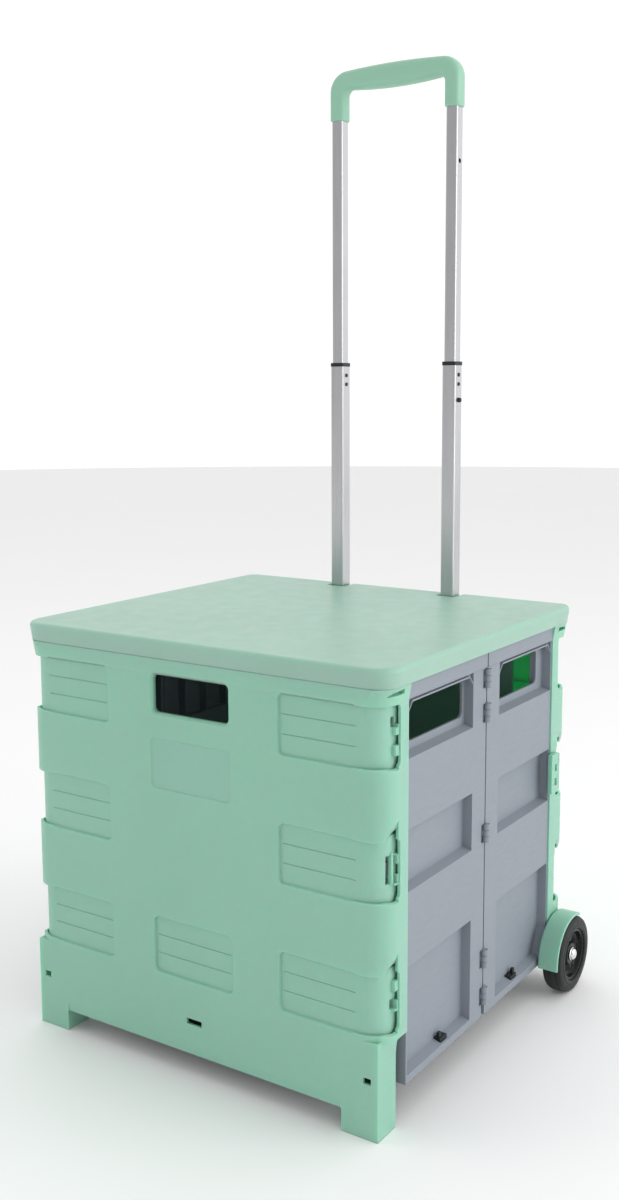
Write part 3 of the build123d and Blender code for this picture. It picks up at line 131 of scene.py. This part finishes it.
def moulded(name, colour, roughness, grain=0.10, grain_scale=2600, rounding=0.7, edge_highlight=0.10,
            translucent=0.0, gloss=0.5):
    """Injection-moulded plastic: spark-eroded grain, faint flow shading, soft edges and a painted highlight
    along the edges.
    """
    material, tree, shader, coords = start_material(name)
    rounded = add(tree, "Bevel", {"Radius": rounding * MM}, samples=4).outputs[0]
    edges = edge_mask(tree, rounded, 0.80, 0.995)
    flow = noise(tree, coords, 7, 3, stretch=(1, 1, 0.45))
    mottle = noise(tree, coords, 160, 3)
    scuffs = noise(tree, coords, 55, 6, stretch=(1, 1, 5))
    shade = mixed(tree, ramp(tree, flow, 0.3, 0.7), rgba(colour, 0.975), rgba(colour, 1.02))
    shade = mixed(tree, ramp(tree, mottle, 0.35, 0.75, 0.0, 0.10), shade, rgba(colour, 0.92))
    # Painted highlight: the colour is lightened along edges, standing in for the light that catches them.
    shade = mixed(tree, ramp(tree, edges, 0, 1, 0.0, edge_highlight), shade, rgba(colour, 1.55))
    tree.links.new(shade, shader.inputs["Base Color"])
    rough = ramp(tree, scuffs, 0.35, 0.72, roughness - 0.05, roughness + 0.06)
    tree.links.new(rough, shader.inputs["Roughness"])
    grains = noise(tree, coords, grain_scale, 2)
    ripple = noise(tree, coords, 22, 2)
    height = add(tree, "Math", {0: grains, 1: ripple}, operation="ADD").outputs[0]
    bump = {"Strength": grain, "Distance": 0.25 * MM, "Height": height, "Normal": rounded}
    tree.links.new(add(tree, "Bump", bump).outputs[0], shader.inputs["Normal"])
    shader.inputs["Specular IOR Level"].default_value = gloss
    if translucent:
        shader.inputs["Subsurface Weight"].default_value = translucent
        shader.inputs["Subsurface Radius"].default_value = (0.25, 1.0, 0.55)
        shader.inputs["Subsurface Scale"].default_value = 12 * MM
    return material


def metal(name, colour, roughness, stretch=(1, 1, 1), scale=900, bump_strength=0.05,
          anisotropic=0.0, rounding=0.3):
    """Metal whose fine lines run along the axis that stretch makes long."""
    material, tree, shader, coords = start_material(name)
    rounded = add(tree, "Bevel", {"Radius": rounding * MM}, samples=4).outputs[0]
    lines = noise(tree, coords, scale, 4, stretch)
    stains = noise(tree, coords, 18, 3)
    shade = mixed(tree, ramp(tree, lines, 0.3, 0.7), rgba(colour, 0.93), rgba(colour, 1.03))
    tree.links.new(shade, shader.inputs["Base Color"])
    rough = add(tree, "Math", {0: ramp(tree, lines, 0.3, 0.7, -0.05, 0.05),
                               1: ramp(tree, stains, 0.35, 0.7, roughness, roughness + 0.07)},
                operation="ADD").outputs[0]
    tree.links.new(rough, shader.inputs["Roughness"])
    bump = {"Strength": bump_strength, "Distance": 0.1 * MM, "Height": lines, "Normal": rounded}
    tree.links.new(add(tree, "Bump", bump).outputs[0], shader.inputs["Normal"])
    shader.inputs["Metallic"].default_value = 1.0
    shader.inputs["Anisotropic"].default_value = anisotropic
    return material


def rubber(name, colour):
    """Matt tyre rubber with a fine bloom and dust."""
    material, tree, shader, coords = start_material(name)
    dust = noise(tree, coords, 90, 5)
    grains = noise(tree, coords, 1500, 3)
    shade = mixed(tree, ramp(tree, dust, 0.5, 0.8, 0.0, 0.25), rgba(colour), rgba((0.03, 0.032, 0.032)))
    tree.links.new(shade, shader.inputs["Base Color"])
    tree.links.new(ramp(tree, dust, 0.3, 0.7, 0.45, 0.60), shader.inputs["Roughness"])
    bump = {"Strength": 0.25, "Distance": 0.2 * MM, "Height": grains}
    tree.links.new(add(tree, "Bump", bump).outputs[0], shader.inputs["Normal"])
    shader.inputs["Specular IOR Level"].default_value = 0.4
    return material


MATERIALS = {
    "mint_plastic": moulded("mint_plastic", MINT, 0.42, translucent=0.6),
    "lid_plastic": moulded("lid_plastic", MINT_LID, 0.40, grain=0.08, translucent=0.6),
    "grip_plastic": moulded("grip_plastic", MINT_GRIP, 0.38, grain=0.14, grain_scale=1800),
    "grey_plastic": moulded("grey_plastic", GREY, 0.50, edge_highlight=0.14),
    "floor_plastic": moulded("floor_plastic", CHARCOAL, 0.48, grain=0.16),
    "dark_plastic": moulded("dark_plastic", NEAR_BLACK, 0.42, edge_highlight=0.02),
    "tube_aluminium": metal("tube_aluminium", ALUMINIUM, 0.30, (1, 1, 0.01), 1400, 0.06, 0.4),
    "steel": metal("steel", ZINC, 0.30),
    "dark_steel": metal("dark_steel", BLACKENED, 0.38),
    "tyre_rubber": rubber("tyre_rubber", RUBBER),
    "hub_plastic": moulded("hub_plastic", NEAR_BLACK, 0.26, grain=0.05, edge_highlight=0.03, gloss=0.22),
    "cap_chrome": metal("cap_chrome", CHROME, 0.10, bump_strength=0.01, rounding=0.5),
}

for part in frame["record"]["subparts"]:
    slots = NODES[part["node"]].data.materials
    slots.clear()
    slots.append(MATERIALS[part["material_slot"]])


# ---------------------------------------------------------------- pieces that stand for CAD nodes

def new_piece(name, made, body, slot, *nodes):
    """Turns a bmesh into a smooth-shaded piece that replaces CAD nodes and rides on their body."""
    bmesh.ops.recalc_face_normals(made, faces=made.faces)
    mesh = bpy.data.meshes.new(name)
    made.to_mesh(mesh)
    made.free()
    piece = bpy.data.objects.new(name, mesh)
    bpy.context.scene.collection.objects.link(piece)
    mesh.materials.append(MATERIALS[slot])
    mesh.shade_smooth()
    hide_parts(*nodes)
    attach(piece, body)
    return piece


def bridge(made, rings, closed=False):
    """Quads between rings of vertices that have the same count."""
    pairs = list(zip(rings, rings[1:])) + ([(rings[-1], rings[0])] if closed else [])
    for first, second in pairs:
        for index, corner in enumerate(first):
            after = (index + 1) % len(first)
            made.faces.new((corner, first[after], second[after], second[index]))


def rounded_profile(points, radius, steps=4):
    """A polyline whose inner corners are replaced by short curves of about the given radius."""
    found = [points[0]]
    for before, corner, after in zip(points, points[1:], points[2:]):
        before, corner, after = (Vector(point) for point in (before, corner, after))
        reach = min(radius, (before - corner).length / 2, (after - corner).length / 2)
        start = corner + (before - corner).normalized() * reach
        end = corner + (after - corner).normalized() * reach
        for step in range(steps + 1):
            t = step / steps
            found.append(start * (1 - t) ** 2 + corner * (2 * t * (1 - t)) + end * t ** 2)
    found.append(points[-1])
    return [tuple(point) for point in found]


def lathe(made, profile, centre, side, segments=96, closed=True, wave=None):
    """Turns (x, radius) points about the X axis through centre; side is 1 or -1.

    wave(x, radius, angle) may move a point along X, for ribs and treads.
    """
    rings = []
    for along, radius in profile:
        ring = []
        for index in range(segments):
            angle = 2 * math.pi * index / segments
            x = along + (wave(along, radius, angle) if wave else 0.0)
            ring.append(made.verts.new((side * x, centre[1] + radius * math.cos(angle),
                                        centre[2] + radius * math.sin(angle))))
        rings.append(ring)
    bridge(made, rings, closed)
    if not closed:
        for ring in (rings[0], rings[-1]):
            made.faces.new(ring)


def wheel_tyre(side, name):
    """A solid tyre with rounded shoulders, two grooves round its tread and stepped side walls."""
    low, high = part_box(f"wheel_tyre_{name}")
    centre = (low + high) / 2
    radius = (high.z - low.z) / 2
    inner, outer = sorted((abs(low.x), abs(high.x)))
    bore = radius - 13 * MM
    groove, middle = 1.4 * MM, (inner + outer) / 2
    outline = [(inner + 1 * MM, bore), (outer - 1 * MM, bore), (outer, bore + 1.5 * MM),
               (outer, bore + 4 * MM), (outer - 0.6 * MM, bore + 4.6 * MM),
               (outer - 0.6 * MM, radius - 5 * MM), (outer - 1.6 * MM, radius - 1.6 * MM)]
    outline.append((outer - 5 * MM, radius))
    for at in (middle + 4 * MM, middle - 4 * MM):
        outline += [(at + groove, radius), (at + groove * 0.6, radius - 0.9 * MM),
                    (at - groove * 0.6, radius - 0.9 * MM), (at - groove, radius)]
    outline += [(inner + 5 * MM, radius), (inner + 1.2 * MM, radius - 1.6 * MM),
                (inner, radius - 5 * MM), (inner, bore + 1.5 * MM)]
    looped = outline[-1:] + outline + outline[:1]
    profile = rounded_profile(looped, 1.2 * MM, 3)[1:-1]
    made = bmesh.new()
    lathe(made, profile, centre, side, 112)
    return new_piece(f"tyre_{name}", made, f"wheel_{name}", "tyre_rubber", f"wheel_tyre_{name}")


def wheel_hub(side, name):
    """A dished hub with five broad ribs, a rim lip and a collar round the axle."""
    low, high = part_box(f"wheel_hub_{name}")
    centre = (low + high) / 2
    rim = (high.z - low.z) / 2
    inner, outer = sorted((abs(low.x), abs(high.x)))
    bore = 4.05 * MM
    outline = [(inner, bore), (outer - 3 * MM, bore), (outer - 3 * MM, 11 * MM),
               (outer - 6.5 * MM, 12.5 * MM), (outer - 7 * MM, 16 * MM), (outer - 7 * MM, 20 * MM),
               (outer - 5.5 * MM, rim - 4.2 * MM), (outer - 1 * MM, rim - 3 * MM),
               (outer, rim - 2 * MM), (outer, rim - 0.02 * MM), (inner + 1.5 * MM, rim - 0.02 * MM),
               (inner + 1.5 * MM, rim - 3 * MM), (inner + 7.5 * MM, rim - 5 * MM),
               (inner + 7.5 * MM, 12 * MM), (inner, 10 * MM)]
    profile = rounded_profile(outline[-1:] + outline + outline[:1], 0.9 * MM, 3)[1:-1]
    dish = (outer - 8 * MM, outer - 5 * MM)

    def ribs(along, radius, angle):
        if not (dish[0] < along < dish[1] and 12 * MM < radius < rim - 3.5 * MM):
            return 0.0
        crest = max(0.0, math.cos(5 * angle)) ** 0.5
        return 2.2 * MM * crest * math.sin(math.pi * (radius - 12 * MM) / (rim - 15.5 * MM))

    made = bmesh.new()
    lathe(made, profile, centre, side, 120, wave=ribs)
    return new_piece(f"hub_{name}", made, f"wheel_{name}", "hub_plastic", f"wheel_hub_{name}")


def axle_caps():
    """The domed caps on both ends of the axle, each with a turned step at its foot."""
    low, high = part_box("axle_caps")
    centre = (low + high) / 2
    radius = (high.z - low.z) / 2
    end = high.x
    outline = [(end - 5.3 * MM, radius), (end - 4.2 * MM, radius), (end - 4.0 * MM, radius * 0.9),
               (end - 2.6 * MM, radius * 0.86), (end - 1.1 * MM, radius * 0.66),
               (end - 0.25 * MM, radius * 0.36), (end, radius * 0.1)]
    made = bmesh.new()
    for side in (1, -1):
        lathe(made, rounded_profile(outline, 0.8 * MM, 4), centre, side, 64, closed=False)
    return new_piece("cap_domes", made, "rear_frame", "cap_chrome", "axle_caps")


def grip():
    """The U-shaped grip: rounded legs that run through soft corners into a bar with a belly."""
    low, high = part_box("handle_grip")
    tube_low, tube_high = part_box("inner_tube_right")
    tube_x = (tube_low.x + tube_high.x) / 2
    middle_y = (tube_low.y + tube_high.y) / 2
    half, top, foot = high.x, high.z, low.z
    leg = 2 * (half - tube_x)
    inner_x = half - leg
    under = top - 22.5 * MM
    outer_turn, inner_turn = 22 * MM, 7 * MM
    shoulder = 2.0 * MM
    leg_depth, bar_depth = (tube_high.y - tube_low.y) / 2 + 2.4 * MM, 11.2 * MM
    stations = []
    for rise, share in ((0.0, 0.86), (0.5 * MM, 0.95), (1.4 * MM, 1.0), (9 * MM, 1.0), (20 * MM, 1.0)):
        centre = (half + inner_x) / 2
        stations.append(((centre + leg / 2 * share, foot + rise), (centre - leg / 2 * share, foot + rise),
                         leg_depth * share, 3.4))
    turns = 12
    for step in range(turns + 1):
        angle = math.pi / 2 * step / turns
        outer = (half - outer_turn + outer_turn * math.cos(angle),
                 top - shoulder - outer_turn + outer_turn * math.sin(angle))
        inner = (inner_x - inner_turn + inner_turn * math.cos(angle),
                 under - inner_turn + inner_turn * math.sin(angle))
        blend = step / turns
        stations.append((outer, inner, leg_depth + (bar_depth - leg_depth) * 0.5 * blend, 3.4 - 0.9 * blend))
    for step in range(1, turns + 1):
        across = 1 - step / turns
        swell = 1 - across ** 2
        outer = ((half - outer_turn) * across, top - shoulder * (1 - swell))
        inner = ((inner_x - inner_turn) * across, under - 3.0 * MM * swell)
        stations.append((outer, inner, leg_depth + (bar_depth - leg_depth) * (0.5 + 0.5 * swell), 2.5))
    mirrored = [((-outer[0], outer[1]), (-inner[0], inner[1]), depth, power)
                for outer, inner, depth, power in reversed(stations[:-1])]
    made = bmesh.new()
    rings = []
    for outer, inner, depth, power in stations + mirrored:
        ring = []
        for index in range(40):
            angle = 2 * math.pi * index / 40
            across, along = (math.copysign(abs(part) ** (2 / power), part)
                             for part in (math.cos(angle), math.sin(angle)))
            x = (outer[0] + inner[0]) / 2 + (outer[0] - inner[0]) / 2 * across
            z = (outer[1] + inner[1]) / 2 + (outer[1] - inner[1]) / 2 * across
            ring.append(made.verts.new((x, middle_y + depth * along, z)))
        rings.append(ring)
    bridge(made, rings)
    made.faces.new(rings[0])
    made.faces.new(rings[-1])
    return new_piece("grip", made, "handle_top", "grip_plastic", "handle_grip")


for side, name in ((1, "right"), (-1, "left")):
    wheel_tyre(side, name)
    wheel_hub(side, name)
axle_caps()
grip()


# ---------------------------------------------------------------- floor, light and camera

def pale_floor():
    """A wide plain floor."""
    bpy.ops.mesh.primitive_circle_add(vertices=96, radius=9.0, fill_type="NGON", location=(0, 0, 0))
    floor = bpy.context.object
    floor.name = "studio_floor"
    material, tree, shader, coords = start_material("studio_floor")
    shade = mixed(tree, noise(tree, coords, 3, 2), rgba((0.93, 0.93, 0.93)), rgba((0.95, 0.95, 0.95)))
    tree.links.new(shade, shader.inputs["Base Color"])
    shader.inputs["Roughness"].default_value = 0.7
    floor.data.materials.append(material)


# Name, place, size, power in watts, and whether glossy surfaces show it.
SOFT_BOXES = (
    ("key_right", (2.6, 0.6, 1.2), 2.0, 26, True),
    ("fill_left", (-2.4, -1.9, 1.3), 1.6, 12, False),
    ("fill_front", (1.7, -2.6, 1.0), 1.4, 8, False),
    ("top", (0, 0.1, 3.0), 2.4, 6, False),
)
SOFT_BOX_AIM = (0, 0, 0.35)


def soft_box(name, place, aim, size, power, mirrored):
    """A square area light at place, turned towards aim; mirrored lets glossy surfaces show it."""
    data = bpy.data.lights.new(name, "AREA")
    data.shape = "SQUARE"
    data.size = size
    data.energy = power
    lamp = bpy.data.objects.new(name, data)
    lamp.location = place
    lamp.visible_glossy = mirrored
    lamp.rotation_euler = (Vector(aim) - Vector(place)).to_track_quat("-Z", "Y").to_euler()
    bpy.context.scene.collection.objects.link(lamp)


def studio():
    """White surroundings, dimmer in front, with a main soft box at the right and three weak ones."""
    world = bpy.data.worlds.new("studio_world")
    world.use_nodes = True
    tree = world.node_tree
    background = tree.nodes["Background"]
    background.inputs["Color"].default_value = (1, 1, 1, 1)
    direction = add(tree, "TexCoord").outputs["Generated"]
    depth = add(tree, "SeparateXYZ", {"Vector": direction}).outputs["Y"]
    tree.links.new(ramp(tree, depth, -0.9, 0.35, 0.52, 1.06), background.inputs["Strength"])
    bpy.context.scene.world = world
    for name, place, size, power, mirrored in SOFT_BOXES:
        soft_box(name, place, SOFT_BOX_AIM, size, power, mirrored)


def photo_camera():
    """The camera, at the photograph's viewing angle."""
    back = Vector((math.sin(CAMERA_AZIMUTH) * math.cos(CAMERA_ELEVATION),
                   -math.cos(CAMERA_AZIMUTH) * math.cos(CAMERA_ELEVATION),
                   math.sin(CAMERA_ELEVATION)))
    right = Vector((math.cos(CAMERA_AZIMUTH), math.sin(CAMERA_AZIMUTH), 0))
    up = back.cross(right)
    turn = Matrix((right, up, back)).transposed() @ Matrix.Rotation(CAMERA_ROLL, 3, "Z")
    data = bpy.data.cameras.new("camera")
    data.sensor_width = SENSOR
    data.lens = LENS
    data.shift_x, data.shift_y = SHIFT
    camera = bpy.data.objects.new("camera", data)
    camera.matrix_world = Matrix.Translation(CAMERA_TARGET + back * CAMERA_DISTANCE) @ turn.to_4x4()
    bpy.context.scene.collection.objects.link(camera)
    bpy.context.scene.camera = camera


pale_floor()
studio()
photo_camera()
bpy.context.scene.view_settings.view_transform = "Standard"
